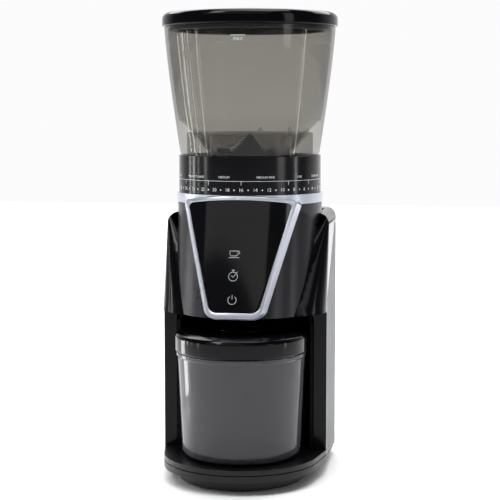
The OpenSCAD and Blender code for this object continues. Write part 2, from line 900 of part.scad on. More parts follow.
module hopper_lid() {
    r = lid_d / 2;
    edge = 5;
    plug_r = hopper_top_r - hopper_wall - 4.2;
    color("#070708") rotate_extrude() polygon(concat(
        [[0, lid_top - 4], [plug_r - 2.4, lid_top - 4], [plug_r - 2.4, hopper_rim_z - 3.2],
         [plug_r, hopper_rim_z - 3.2], [plug_r, hopper_rim_z + 0.3], [r, hopper_rim_z + 0.3]],
        [for (a = [0 : 15 : 90]) [r - edge + edge * cos(a), lid_top - 1 - edge + edge * sin(a)]],
        [[r * 0.62, lid_top - 0.2], [r * 0.3, lid_top], [0, lid_top]]
    ));
}

module lid_seal() {
    plug_r = hopper_top_r - hopper_wall - 4.2;
    color("#1a1a1b") ring(plug_r + 2.6, plug_r + 0.05, hopper_rim_z - 2.8, hopper_rim_z - 0.6);
}

// --------------------------------------------------------------------- jar

module jar() {
    foot = 6;
    color("#6b6b70", 0.5) translate([0, jar_y, 0]) rotate_extrude() polygon(concat(
        [[0, jar_z], [jar_foot_r - foot, jar_z]],
        [for (a = [-75 : 15 : 0]) [jar_foot_r - foot + foot * cos(a), jar_z + foot + foot * sin(a)]],
        [[jar_top_r, jar_rim_z - 4], [jar_top_r + 1, jar_rim_z - 2.6], [jar_top_r + 1, jar_rim_z],
         [jar_top_r - jar_wall, jar_rim_z], [jar_top_r - jar_wall, jar_rim_z - 8],
         [jar_foot_r - jar_wall, jar_z + foot + 1]],
        [for (a = [-15 : -15 : -75]) [jar_foot_r - jar_wall - 4 + 4 * cos(a), jar_z + 7 + 4 * sin(a)]],
        [[0, jar_z + 3]]
    ));
}

module jar_lid() {
    plug_r = jar_top_r - jar_wall - 1.6;
    color("#0a0a0c") translate([0, jar_y, 0]) rotate_extrude() polygon([
        [jar_hole_r, 107.5], [plug_r - 2, 107.5], [plug_r - 2, 95], [plug_r, 95], [plug_r, jar_lid_z - 0.3],
        [jar_lid_r - 0.8, jar_lid_z - 0.3], [jar_lid_r - 0.8, jar_lid_z], [jar_lid_r, jar_lid_z + 0.6],
        [jar_lid_r, jar_lid_top - 4.5], [jar_lid_r - 1.2, jar_lid_top - 2.6], [jar_lid_r - 6, jar_lid_top],
        [jar_hole_r + 3, jar_lid_top], [jar_hole_r + 3, jar_lid_top + 0.7], [jar_hole_r, jar_lid_top + 0.7]
    ]);
}

module jar_seal() {
    plug_r = jar_top_r - jar_wall - 1.6;
    color("#303032") translate([0, jar_y, 0]) ring(plug_r + 1.2, plug_r + 0.05, 97, 99);
}

// ----------------------------------------------------------------- drawing

at_axis() rubber_feet();
at_axis() base_plate();
at_axis() base_pan();
at_axis() base_tray();
at_axis() base_screws();
at_axis() mirror([1, 0, 0]) side_shell_right();  // side_shell_left
at_axis() side_shell_right();
at_axis() mirror([1, 0, 0]) side_panel_right();  // side_panel_left
at_axis() side_panel_right();
at_axis() rear_cover();
at_axis() bay_liner();
at_axis() head_shell();
at_axis() neck_shell();
at_axis() neck_band();
at_axis() panel_bezel();
at_axis() touch_panel();
at_axis() touch_board();
at_axis() panel_lead();
at_axis() chute();
at_axis() damper_bushes();
at_axis() gearbox_base();
at_axis() gearbox_cover();
at_axis() gearbox_screws();
at_axis() motor_can();
at_axis() motor_rotor();
at_axis() drive_pinion();
at_axis() motor_screws();
at_axis() motor_leads();
at_axis() power_board();
at_axis() transformer();
at_axis() cord_gland();
at_axis() idler_pin();
at_axis() idler_gear();
at_axis() output_gear();
at_axis() burr_shaft();
at_axis() lower_bearing();
at_axis() upper_bearing();
at_axis() shaft_seal();
at_axis() grind_chamber();
at_axis() chamber_screws();
at_axis() sweeper();
at_axis() lower_burr();
at_axis() burr_nut();
at_axis() upper_burr();
at_axis() burr_carrier();
at_axis() detent_leaf();
at_axis() grind_ring();
at_axis() hopper_shell();
at_axis() feed_guard();
at_axis() hopper_lid();
at_axis() lid_seal();
at_axis() jar();
at_axis() jar_lid();
at_axis() jar_seal();
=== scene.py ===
import json
import math
import bmesh
import bpy
import numpy as np
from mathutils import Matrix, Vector


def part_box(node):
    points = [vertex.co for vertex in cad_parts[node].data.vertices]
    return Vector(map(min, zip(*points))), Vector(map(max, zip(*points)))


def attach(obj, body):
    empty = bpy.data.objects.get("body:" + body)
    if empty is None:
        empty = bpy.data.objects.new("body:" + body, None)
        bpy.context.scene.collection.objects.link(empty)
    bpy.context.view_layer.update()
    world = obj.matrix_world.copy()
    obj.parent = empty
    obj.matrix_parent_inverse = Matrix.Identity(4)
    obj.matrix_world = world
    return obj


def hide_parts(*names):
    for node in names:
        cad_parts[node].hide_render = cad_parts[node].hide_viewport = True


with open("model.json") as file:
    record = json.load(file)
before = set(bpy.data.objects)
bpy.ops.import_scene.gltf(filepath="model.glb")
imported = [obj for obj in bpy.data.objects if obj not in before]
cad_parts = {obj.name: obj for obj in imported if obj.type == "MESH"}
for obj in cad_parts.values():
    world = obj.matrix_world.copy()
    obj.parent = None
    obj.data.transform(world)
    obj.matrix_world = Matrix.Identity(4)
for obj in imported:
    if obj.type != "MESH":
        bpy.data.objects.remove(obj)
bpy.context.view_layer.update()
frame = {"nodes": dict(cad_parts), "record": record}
print("stage 1: the frame is loaded")

# Shapes are worked out in millimetres from the grinding axis and set down in metres.
scene = bpy.context.scene
millimetre = 0.001
ringLow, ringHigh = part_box("grind_ring")
axisY = (ringLow.y + ringHigh.y) / 2 / millimetre
slotOf = {part["node"]: part["material_slot"] for part in frame["record"]["subparts"]}
bodyOf = {n: body for body, nodes in frame["record"]["behaviour"]["bodies"].items() for n in nodes}


def setDown(points):
    return (np.asarray(points, float) + [0, axisY, 0]) * millimetre


# ---- camera, light and floor

studio = {
    "lens": 103.26, "eye": (178.9, -1133.3, 292.0), "pitch": 84.17, "turn": 8.97,
    "backdrop": (0.97, 0.97, 0.98), "room": (0.07, 0.075, 0.085), "zenith": 0.55, "floor": (0.92, 0.92, 0.92),
}


def addCamera():
    data = bpy.data.cameras.new("camera")
    data.lens = studio["lens"]
    data.sensor_width = 36
    data.clip_start, data.clip_end = 0.01, 50
    camera = bpy.data.objects.new("camera", data)
    scene.collection.objects.link(camera)
    camera.location = setDown(studio["eye"])
    camera.rotation_euler = [math.radians(a) for a in (studio["pitch"], 0, studio["turn"])]
    scene.camera = camera


def addLamp(name, at, aim, size, power):
    data = bpy.data.lights.new(name, "AREA")
    data.shape = "RECTANGLE"
    data.size, data.size_y = size
    data.energy = power
    lamp = bpy.data.objects.new(name, data)
    scene.collection.objects.link(lamp)
    lamp.location = at
    lamp.visible_camera = False
    lamp.rotation_euler = (Vector(aim) - lamp.location).to_track_quat("-Z", "Y").to_euler()


# A white backdrop behind, a dim room in front, and a softer brightness overhead.
def addWorld():
    world = bpy.data.worlds.new("studio")
    scene.world = world
    world.use_nodes = True
    nodes, links = world.node_tree.nodes, world.node_tree.links
    place = nodes.new("ShaderNodeTexCoord")
    split = nodes.new("ShaderNodeSeparateXYZ")
    ramp = nodes.new("ShaderNodeValToRGB")
    ramp.color_ramp.elements[0].position = 0.3
    ramp.color_ramp.elements[0].color = (*studio["room"], 1)
    ramp.color_ramp.elements[1].position = 0.95
    ramp.color_ramp.elements[1].color = (*studio["backdrop"], 1)
    links.new(place.outputs["Generated"], split.inputs[0])
    links.new(split.outputs["Y"], ramp.inputs["Fac"])
    dim = nodes.new("ShaderNodeMapRange")
    dim.inputs["From Min"].default_value = 0.15
    dim.inputs["From Max"].default_value = 0.7
    dim.inputs["To Min"].default_value = 1.0
    dim.inputs["To Max"].default_value = studio["zenith"]
    links.new(split.outputs["Z"], dim.inputs["Value"])
    links.new(ramp.outputs["Color"], nodes["Background"].inputs["Color"])
    links.new(dim.outputs["Result"], nodes["Background"].inputs["Strength"])


addCamera()
addWorld()
lamps = {
    "keyLeft": ((-0.9, -0.9, 1.7), (0, -0.03, 0.2), (0.5, 0.5), 9),
    "frontCard": ((-0.4, -1.917, 1.703), (0, -0.07, 0.174), (4.0, 1.2), 7.5),
    "stripNear": ((-0.562, -0.262, 0.17), (0, 0, 0.17), (0.030, 0.30), 0.16),
    "stripMid": ((-0.611, -0.108, 0.17), (0, 0, 0.17), (0.014, 0.30), 0.10),
    "stripSide": ((-0.620, 0.011, 0.17), (0, 0, 0.17), (0.026, 0.30), 0.30),
    "stripBack": ((-0.609, 0.118, 0.17), (0, -0.03, 0.17), (0.020, 0.30), 0.20),
    "jarStrip": ((-0.24, 0.02, 0.052), (0, -0.06, 0.052), (0.05, 0.09), 0.14),
    "stripRight": ((0.618, -0.043, 0.17), (0, 0, 0.17), (0.030, 0.30), 0.18),
    "fillRight": ((1.2, -0.7, 0.6), (0, 0, 0.2), (0.3, 1.0), 1.8),
    "topSoft": ((0.1, 0.1, 1.5), (0, 0, 0.3), (1.0, 0.8), 12),
    "floorWash": ((0, 2.0, 1.8), (0, 1.9, 0), (4.5, 2.0), 120),
    "floorFront": ((0, -0.6, 2.2), (0, -0.5, 0), (2.0, 1.0), 20),
}
for lampName, (at, aim, size, power) in lamps.items():
    addLamp(lampName, at, aim, size, power)
scene.view_settings.view_transform = "Standard"

# ---- finishes: one dictionary of looks, by the record's slot names

plain = {
    "metal": 0.0, "rough": 0.4, "roughSpread": 0.08, "specular": 0.5, "grain": 1500.0,
    "depth": 0.00002, "stretch": (1, 1, 1), "patch": 30.0, "patchShare": 0.10,
}
looks = {
    "foot_rubber": {"colour": (0.018, 0.018, 0.02), "rough": 0.75, "depth": 0.00006, "grain": 900},
    "base_black": {"colour": (0.005, 0.005, 0.006), "rough": 0.34, "specular": 0.3, "depth": 0.00002},
    "tray_black": {"colour": (0.003, 0.003, 0.004), "rough": 0.30, "specular": 0.3, "depth": 0.00002},
    "screw_steel": {"colour": (0.55, 0.56, 0.58), "metal": 1.0, "rough": 0.32, "stretch": (1, 1, 6)},
    "shell_gloss_black": {"colour": (0.0025, 0.0025, 0.0035), "rough": 0.14, "roughSpread": 0.05,
                          "depth": 0.000004, "specular": 0.15},
    "side_silver": {"colour": (0.15, 0.153, 0.16), "metal": 0.25, "rough": 0.50, "specular": 0.3,
                    "depth": 0.00001, "grain": 2600, "patchShare": 0.05},
    "bay_black": {"colour": (0.002, 0.002, 0.0025), "rough": 0.45, "specular": 0.08, "depth": 0.00003},
    "head_satin_black": {"colour": (0.008, 0.008, 0.010), "rough": 0.30, "depth": 0.000012,
                         "grain": 2200, "specular": 0.42},
    "trim_silver": {"colour": (0.56, 0.59, 0.66), "metal": 0.60, "rough": 0.30, "depth": 0.000006,
                    "grain": 3000, "patchShare": 0.04},
    "panel_gloss_black": {"colour": (0.002, 0.002, 0.0025), "rough": 0.08, "roughSpread": 0.03,
                          "depth": 0.000002},
    "circuit_board": {"colour": (0.02, 0.11, 0.05), "rough": 0.35, "patch": 120.0, "patchShare": 0.3},
    "ribbon_grey": {"colour": (0.45, 0.45, 0.46), "rough": 0.5, "stretch": (8, 8, 1), "grain": 600},
    "gearbox_grey": {"colour": (0.05, 0.05, 0.055), "rough": 0.55, "depth": 0.00006, "patchShare": 0.2},
    "motor_steel": {"colour": (0.42, 0.43, 0.45), "metal": 1.0, "rough": 0.38, "stretch": (1, 1, 9)},
    "rotor_copper": {"colour": (0.62, 0.27, 0.12), "metal": 1.0, "rough": 0.35, "stretch": (1, 1, 12),
                     "grain": 700, "depth": 0.0001},
    "gear_brass": {"colour": (0.62, 0.44, 0.16), "metal": 1.0, "rough": 0.28, "stretch": (5, 5, 1)},
    "gear_nylon": {"colour": (0.72, 0.69, 0.60), "rough": 0.45, "depth": 0.00003},
    "lead_pvc": {"colour": (0.25, 0.02, 0.02), "rough": 0.5},
    "transformer_yellow": {"colour": (0.60, 0.42, 0.06), "rough": 0.5, "stretch": (1, 1, 7), "depth": 0.0001},
    "gland_black": {"colour": (0.015, 0.015, 0.016), "rough": 0.6, "depth": 0.00005},
    "shaft_steel": {"colour": (0.62, 0.63, 0.66), "metal": 1.0, "rough": 0.22, "stretch": (1, 1, 14)},
    "bearing_bronze": {"colour": (0.45, 0.27, 0.10), "metal": 1.0, "rough": 0.42, "depth": 0.00005},
    "seal_felt": {"colour": (0.22, 0.19, 0.16), "rough": 0.95, "depth": 0.0004, "patchShare": 0.3},
    "chamber_nylon": {"colour": (0.62, 0.59, 0.52), "rough": 0.48, "depth": 0.00003},
    "burr_steel": {"colour": (0.33, 0.34, 0.36), "metal": 1.0, "rough": 0.33, "stretch": (1, 1, 5)},
    "ring_gloss_black": {"colour": (0.002, 0.002, 0.003), "rough": 0.16, "roughSpread": 0.05,
                         "depth": 0.000004},
    "lid_gloss_black": {"colour": (0.002, 0.002, 0.003), "rough": 0.10, "specular": 0.18, "roughSpread": 0.04,
                        "depth": 0.000003},
    "seal_silicone": {"colour": (0.03, 0.03, 0.032), "rough": 0.55, "depth": 0.00002},
}
clearLooks = {
    "hopper_smoke": {"through": (0.75, 0.74, 0.715), "body": (0.10, 0.10, 0.098), "haze": 0.05, "rough": 0.05,
                     "index": 2.0, "specular": 1.0},
    "jar_smoke": {"through": (0.60, 0.60, 0.62), "body": (0.105, 0.105, 0.115), "haze": 0.36, "rough": 0.10,
                  "index": 1.5, "specular": 0.8},
}
skin = {"blend": 0.5, "power": 4.0, "share": 0.8, "least": 0.04}


def noiseNode(nodes, links, source, scale, detail):
    noise = nodes.new("ShaderNodeTexNoise")
    noise.inputs["Scale"].default_value = scale
    noise.inputs["Detail"].default_value = detail
    links.new(source, noise.inputs["Vector"])
    return noise.outputs["Fac"]


def spread(nodes, links, source, low, high):
    span = nodes.new("ShaderNodeMapRange")
    span.inputs["From Min"].default_value = 0.25
    span.inputs["From Max"].default_value = 0.75
    span.inputs["To Min"].default_value = low
    span.inputs["To Max"].default_value = high
    links.new(source, span.inputs["Value"])
    return span.outputs["Result"]


def textured(shader, nodes, links, look):
    place = nodes.new("ShaderNodeTexCoord")
    mapping = nodes.new("ShaderNodeMapping")
    mapping.inputs["Scale"].default_value = look["stretch"]
    links.new(place.outputs["Object"], mapping.inputs["Vector"])
    fine = noiseNode(nodes, links, mapping.outputs["Vector"], look["grain"], 3)
    broad = noiseNode(nodes, links, place.outputs["Object"], look["patch"], 4)
    half = look["roughSpread"] / 2
    links.new(spread(nodes, links, broad, look["rough"] - half, look["rough"] + half),
              shader.inputs["Roughness"])
    bump = nodes.new("ShaderNodeBump")
    bump.inputs["Strength"].default_value = 1.0
    bump.inputs["Distance"].default_value = look["depth"]
    links.new(fine, bump.inputs["Height"])
    links.new(bump.outputs["Normal"], shader.inputs["Normal"])
    return broad


def opaqueFinish(name, look):
    look = {**plain, **look}
    material = bpy.data.materials.new(name)
    material.use_nodes = True
    nodes, links = material.node_tree.nodes, material.node_tree.links
    shader = nodes["Principled BSDF"]
    shader.inputs["Metallic"].default_value = look["metal"]
    shader.inputs["Specular IOR Level"].default_value = look["specular"]
    broad = textured(shader, nodes, links, look)
    mix = nodes.new("ShaderNodeMix")
    mix.data_type = "RGBA"
    mix.inputs[6].default_value = (*[c * (1 - look["patchShare"]) for c in look["colour"]], 1)
    mix.inputs[7].default_value = (*[c * (1 + look["patchShare"]) for c in look["colour"]], 1)
    links.new(broad, mix.inputs[0])
    links.new(mix.outputs[2], shader.inputs["Base Color"])
    return material


# A clear moulding: light goes through tinted, a little haze hangs in it, and its skin shines.
def clearFinish(name, look):
    material = bpy.data.materials.new(name)
    material.use_nodes = True
    nodes, links = material.node_tree.nodes, material.node_tree.links
    shader = nodes["Principled BSDF"]
    textured(shader, nodes, links, {**plain, "rough": look["rough"], "roughSpread": 0.03, "depth": 0.000003,
                                    "grain": 400.0})
    shader.inputs["Base Color"].default_value = (*look["body"], 1)
    shader.inputs["IOR"].default_value = look["index"]
    shader.inputs["Specular IOR Level"].default_value = look["specular"]
    through = nodes.new("ShaderNodeBsdfTransparent")
    through.inputs["Color"].default_value = (*look["through"], 1)
    edge = nodes.new("ShaderNodeLayerWeight")
    edge.inputs["Blend"].default_value = skin["blend"]
    power = nodes.new("ShaderNodeMath")
    power.operation = "POWER"
    power.inputs[1].default_value = skin["power"]
    links.new(edge.outputs["Facing"], power.inputs[0])
    share = nodes.new("ShaderNodeMath")
    share.operation = "MULTIPLY_ADD"
    share.use_clamp = True
    share.inputs[1].default_value = skin["share"]
    share.inputs[2].default_value = skin["least"] + look["haze"]
    links.new(power.outputs["Value"], share.inputs[0])
    mix = nodes.new("ShaderNodeMixShader")
    links.new(share.outputs["Value"], mix.inputs["Fac"])
    links.new(through.outputs["BSDF"], mix.inputs[1])
    links.new(shader.outputs["BSDF"], mix.inputs[2])
    links.new(mix.outputs["Shader"], nodes["Material Output"].inputs["Surface"])
    return material


finishes = {name: opaqueFinish(name, look) for name, look in looks.items()}
finishes.update({name: clearFinish(name, look) for name, look in clearLooks.items()})
printWhite = opaqueFinish("printWhite", {"colour": (0.66, 0.68, 0.70), "rough": 0.45, "depth": 0.00001})
printDark = opaqueFinish("printDark", {"colour": (0.03, 0.03, 0.035), "rough": 0.45, "depth": 0.00001})
for node, thing in frame["nodes"].items():
    thing.data.materials.clear()
    thing.data.materials.append(finishes[slotOf[node]])
print("stage 2: finishes are on the frame")

# ---- making meshes


# Quads over a grid of points: each row closes round, and the last row joins the first where asked.
def gridFaces(rows, columns, closeRows):
    i = np.arange(rows if closeRows else rows - 1)[:, None]
    j = np.arange(columns)[None, :]
    nextI, nextJ = (i + 1) % rows, (j + 1) % columns
    quads = np.stack([i * columns + j, i * columns + nextJ, nextI * columns + nextJ, nextI * columns + j], -1)
    return quads.reshape(-1, 4)


creaseAngle = 35


def newPiece(name, points, faces, body, finish, stands=()):
    mesh = bpy.data.meshes.new(name)
    mesh.from_pydata([tuple(p) for p in setDown(points).tolist()], [], [tuple(f) for f in faces])
    shape = bmesh.new()
    shape.from_mesh(mesh)
    bmesh.ops.remove_doubles(shape, verts=shape.verts, dist=2e-6)
    bmesh.ops.recalc_face_normals(shape, faces=shape.faces)
    shape.to_mesh(mesh)
    shape.free()
    return settle(name, mesh, body, finish, stands, creaseAngle)


def settle(name, mesh, body, finish, stands, angle):
    mesh.shade_smooth()
    mesh.set_sharp_from_angle(angle=math.radians(angle))
    mesh.materials.append(finish)
    piece = bpy.data.objects.new(name, mesh)
    scene.collection.objects.link(piece)
    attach(piece, body)
    if stands:
        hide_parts(*stands)
    return piece


# Corners of a section, each rounded by an arc that touches both of its sides.
def rounded(corners, closed=True, steps=6):
    out = []
    count = len(corners)
    for k, (x, y, r) in enumerate(corners):
        here = np.array([x, y], float)
        if r <= 0 or (not closed and k in (0, count - 1)):
            out.append(here[None])
            continue
        before = np.array(corners[k - 1][:2], float) - here
        after = np.array(corners[(k + 1) % count][:2], float) - here
        before, after = before / np.linalg.norm(before), after / np.linalg.norm(after)
        half = math.acos(np.clip(before @ after, -1, 1)) / 2
        middle = (before + after) / np.linalg.norm(before + after)
        centre = here + middle * r / math.sin(half)
        start, stop = here + before * r / math.tan(half) - centre, here + after * r / math.tan(half) - centre
        share = np.linspace(0, 1, steps)[:, None]
        arc = start * (1 - share) + stop * share
        out.append(centre + arc / np.linalg.norm(arc, axis=1)[:, None] * r)
    return np.concatenate(out)


# A section of radius and height turned about an upright axis.
def turnedPiece(name, section, body, slot, stands, centreY=0.0, closed=True, steps=144):
    angle = np.linspace(0, 2 * math.pi, steps, endpoint=False)
    radius, height = section[:, 0, None], section[:, 1, None]
    grid = np.stack([radius * np.cos(angle), centreY + radius * np.sin(angle), height + 0 * angle], -1)
    faces = gridFaces(len(section), steps, closed)
    return newPiece(name, grid.reshape(-1, 3), faces, body, finishes[slot], stands)


bevelling = {"segments": 3, "angle": 30, "flatWithin": 0.25}


# A copy of a frame piece with its corners joined, its flat faces whole and its edges softened.
def softened(node, name, width):
    source = frame["nodes"][node].data
    points = np.empty(len(source.vertices) * 3, np.float32)
    source.vertices.foreach_get("co", points)
    corners = np.empty(len(source.loops), np.int32)
    source.loops.foreach_get("vertex_index", corners)
    unique, joined = np.unique(np.round(points.reshape(-1, 3), 7), axis=0, return_inverse=True)
    triangles = joined.reshape(-1)[corners].reshape(-1, 3)
    whole = (triangles[:, 0] != triangles[:, 1]) & (triangles[:, 1] != triangles[:, 2])
    whole &= triangles[:, 0] != triangles[:, 2]
    mesh = bpy.data.meshes.new(name)
    mesh.from_pydata(unique.tolist(), [], triangles[whole].tolist())
    shape = bmesh.new()
    shape.from_mesh(mesh)
    bmesh.ops.remove_doubles(shape, verts=shape.verts, dist=3e-6)
    bmesh.ops.dissolve_limit(shape, angle_limit=math.radians(bevelling["flatWithin"]),
                             verts=shape.verts, edges=shape.edges)
    shape.to_mesh(mesh)
    shape.free()
    slot = slotOf[node]
    piece = settle(name, mesh, bodyOf[node], finishes[slot], (node,), bevelling["angle"])
    bevel = piece.modifiers.new("softEdge", "BEVEL")
    bevel.width = width * millimetre
    bevel.segments = bevelling["segments"]
    bevel.limit_method = "ANGLE"
    bevel.angle_limit = math.radians(bevelling["angle"])
    bevel.use_clamp_overlap = True
    weighted = piece.modifiers.new("evenShade", "WEIGHTED_NORMAL")
    weighted.keep_sharp = False
    return piece


# ---- outer shells, base and trim, with the edge radius of each in millimetres

softEdges = {
    "base_plate": ("basePlate", 0.5), "base_pan": ("basePan", 1.0), "base_tray": ("baseTray", 0.9),
    "side_shell_left": ("sideShellLeft", 0.3), "side_shell_right": ("sideShellRight", 0.3),
    "side_panel_left": ("sidePanelLeft", 0.4), "side_panel_right": ("sidePanelRight", 0.4),
    "rear_cover": ("rearCover", 0.5), "bay_liner": ("bayLiner", 0.4), "head_shell": ("headShell", 0.8),
    "neck_shell": ("neckShell", 0.4), "neck_band": ("neckBand", 0.7),
    "touch_panel": ("touchPanel", 0.3), "grind_ring": ("grindRing", 0.5), "feed_guard": ("feedGuard", 0.4),
    "cord_gland": ("cordGland", 0.6), "chute": ("groundsChute", 0.4), "rubber_feet": ("rubberFeet", 0.6),
}
for node, (name, width) in softEdges.items():
    softened(node, name, width)
print("stage 3: shells, base and trim")

# ---- bezel of the panel, on a face that is a shallow cylinder leaning back

face = {"y": -84.0, "z": 131.0, "lean": 16.0, "curve": 75.0}


def onFace(x, s, height, recess=0.5):
    depth = face["curve"] - np.sqrt((face["curve"] - recess + height) ** 2 - x ** 2)
    lean = math.radians(face["lean"])
    return np.stack([x, face["y"] + depth * math.cos(lean) + s * math.sin(lean),
                     face["z"] - depth * math.sin(lean) + s * math.cos(lean)], -1)


def onBezel(x, s, height):
    return onFace(x, s, height, recess=0.0)


bezel = {
    "inner": ((18.6, 4.8, 8.0), (40.6, 91.6, 3.4)), "outer": ((20.4, 0.4, 9.4), (44.2, 94.6, 2.0)),
    "flare": 2.2, "back": 6.3, "front": 0.6, "arcSteps": 14, "sideSteps": 24,
    "section": ((0, 6.3), (0, 0.7), (0.05, 0.25), (0.16, 0.0), (0.84, 0.0), (0.95, 0.15), (1.0, 0.6)),
}


# A loop of the face outline: four rounded corners, with each side cut into even steps.
def faceLoop(low, top):
    ends = [(-top[0], *top[1:]), (-low[0], *low[1:]), low, top]
    corners = rounded(ends, steps=bezel["arcSteps"]).reshape(4, bezel["arcSteps"], 2)
    share = np.linspace(0, 1, bezel["sideSteps"], endpoint=False)[1:, None]
    pieces = []
    for k in range(4):
        start, stop = corners[k, -1], corners[(k + 1) % 4, 0]
        pieces += [corners[k], start * (1 - share) + stop * share]
    return np.concatenate(pieces)


# Each section point slides between the two loops; the skirt leaves the outer loop along its
# sideways normal, straight from the front edge to the back.
def bezelPiece():
    inner, outer = faceLoop(*bezel["inner"]), faceLoop(*bezel["outer"])
    along = np.roll(outer, -1, 0) - np.roll(outer, 1, 0)
    normal = np.stack([-along[:, 1], along[:, 0]], -1) / np.linalg.norm(along, axis=1)[:, None]
    normal *= np.sign(np.sum(normal * (outer - inner), 1))[:, None]
    flared = bezel["flare"] * np.abs(normal[:, :1]) * normal * [1, 0]
    front, back = bezel["front"], bezel["back"]
    rows = [onBezel(*(inner + (outer - inner) * share).T, -depth) for share, depth in bezel["section"]]
    rows += [onBezel(*(outer + flared * share).T, -front - (back - front) * share)
             for share in (0.3, 0.65, 1.0)]
    grid = np.stack(rows)
    faces = gridFaces(len(grid), len(inner), True)
    newPiece("panelBezel", grid.reshape(-1, 3), faces, "housing", finishes["trim_silver"],
             ("panel_bezel",))


bezelPiece()
print("stage 4: bezel")

# ---- hopper and its lid

hopper = {
    "lowR": 55.2, "topR": 67.8, "bow": 1.25, "leanZ": 251.5, "lowZ": 251.9, "rimZ": 352.0, "lip": 0.8,
    "wall": 2.5, "floorZ": 276.0,
    "skirtR": 52.8, "skirtZ": 241.2, "throatR": 28.0, "throatZ": 228.0,
    "beadZ": (338.0, 281.0), "beadDepth": 0.9, "beadWidth": 0.8,
}


# The wall leans out fast at its foot and less towards the rim; two low beads run round inside.
def hopperRadius(height):
    share = (np.asarray(height, float) - hopper["leanZ"]) / (hopper["rimZ"] - hopper["leanZ"])
    return hopper["lowR"] + (hopper["topR"] - hopper["lowR"]) * (1 - (1 - share) ** hopper["bow"])


def hopperSection():
    lipZ = hopper["rimZ"] - hopper["lip"]
    up = np.linspace(hopper["lowZ"], lipZ, 40)
    down = np.linspace(lipZ, hopper["floorZ"] + 3, 150)
    outer = np.stack([hopperRadius(up), up], -1)
    beads = sum(np.exp(-((down - z) / hopper["beadWidth"]) ** 2) for z in hopper["beadZ"])
    inner = np.stack([hopperRadius(down) - hopper["wall"] - hopper["beadDepth"] * beads, down], -1)
    rim = rounded([(outer[-1, 0], outer[-1, 1], 0), (outer[-1, 0], hopper["rimZ"], 0.7),
                   (inner[0, 0], hopper["rimZ"], 0.7), (inner[0, 0], inner[0, 1], 0)], closed=False)
    throat, throatZ = hopper["throatR"], hopper["throatZ"]
    skirt, skirtZ, lowZ = hopper["skirtR"], hopper["skirtZ"], hopper["lowZ"]
    foot = rounded([
        (inner[-1, 0], inner[-1, 1], 0), (hopper["lowR"] - 4.6, hopper["floorZ"] - 2, 2.5),
        (throat, 251.5, 3), (throat, throatZ, 0.8), (throat + 2.4, throatZ, 0.8), (throat + 2.4, 251, 3),
        (skirt - 2.5, 271, 1.2), (skirt - 2.5, skirtZ, 0.8), (skirt, skirtZ, 0.8), (skirt, lowZ, 0.4),
        (hopper["lowR"], lowZ, 0.5), (outer[1, 0], outer[1, 1], 0)], closed=False)
    return np.concatenate([outer[1:], rim[1:-1], inner, foot[1:-1]])


turnedPiece("hopperShell", hopperSection(), "hopper", "hopper_smoke", ("hopper_shell",), steps=160)

lid = {"radius": 69.5, "topZ": 364.0, "edge": 5.0, "crown": 1.0, "skirtZ": 352.3, "plugR": 61.1,
       "plugZ": 348.8, "plugWall": 2.4, "roof": 4.0}


def lidSection():
    share = np.linspace(0, 1, 12)[:-1]
    flat = lid["radius"] - lid["edge"]
    crown = np.stack([flat * share, lid["topZ"] - lid["crown"] * share ** 2.6], -1)
    turn = np.linspace(90, 0, 9) * math.pi / 180
    edge = np.stack([flat + lid["edge"] * np.cos(turn),
                     lid["topZ"] - lid["crown"] - lid["edge"] * (1 - np.sin(turn))], -1)
    plug, plugZ, bore = lid["plugR"], lid["plugZ"], lid["plugR"] - lid["plugWall"]
    under = rounded([
        (lid["radius"], 354.5, 0), (lid["radius"], lid["skirtZ"], 0.8), (plug, lid["skirtZ"], 0.4),
        (plug, plugZ, 0.6), (bore, plugZ, 0.6), (bore, lid["topZ"] - lid["roof"], 0.5),
        (0, lid["topZ"] - lid["roof"], 0)], closed=False)
    return np.concatenate([crown, edge, under[1:]])


turnedPiece("hopperLid", lidSection(), "hopper_lid", "lid_gloss_black", ("hopper_lid",),
            closed=False, steps=160)
print("stage 5: hopper and lid")

# ---- jar and its lid

jar = {"y": -44.0, "footZ": 19.8, "footR": 46.0, "topR": 49.5, "rimZ": 101.2, "wall": 2.2}
jarLid = {"radius": 51.3, "lowZ": 101.5, "topZ": 117.5, "holeR": 15.0, "plugR": 45.7, "plugZ": 95.0,
          "roofZ": 107.5}


def jarSection():
    foot, footZ, top, rimZ, wall = (jar[k] for k in ("footR", "footZ", "topR", "rimZ", "wall"))
    return rounded([
        (0, footZ + 0.8, 0), (foot - 8, footZ + 0.8, 0.5), (foot - 9.4, footZ, 0.5), (foot, footZ, 5.5),
        (top, rimZ - 4, 0.6), (top + 1, rimZ - 2.6, 0.5), (top + 1, rimZ, 0.5), (top - wall, rimZ, 0.6),
        (top - wall, rimZ - 8, 0.5), (foot - wall, footZ + 3.2, 4.5), (0, footZ + 3.2, 0)], closed=False)


def jarLidSection():
    edge, lowZ, topZ = jarLid["radius"], jarLid["lowZ"], jarLid["topZ"]
    hole, plug, plugZ, roofZ = jarLid["holeR"], jarLid["plugR"], jarLid["plugZ"], jarLid["roofZ"]
    return rounded([
        (hole, roofZ, 0.3), (plug - 2, roofZ, 0.8), (plug - 2, plugZ, 0.5), (plug, plugZ, 0.5),
        (plug, lowZ, 0.2), (edge - 0.8, lowZ, 0.2), (edge, lowZ + 1, 0.5), (edge, topZ - 4.6, 1.4),
        (edge - 1.4, topZ - 2.2, 1.4), (edge - 6, topZ, 3.0), (hole + 3, topZ, 0.5),
        (hole + 3, topZ + 0.7, 0.6), (hole, topZ + 0.7, 0.6)])


turnedPiece("jarGlass", jarSection(), "jar", "jar_smoke", ("jar",), jar["y"], closed=False)
turnedPiece("jarLid", jarLidSection(), "jar_lid", "lid_gloss_black", ("jar_lid",), jar["y"])
print("stage 6: jar and its lid")

# ---- printed marks: flat shapes with a little thickness, wrapped on to a surface

inkDepth = 0.06


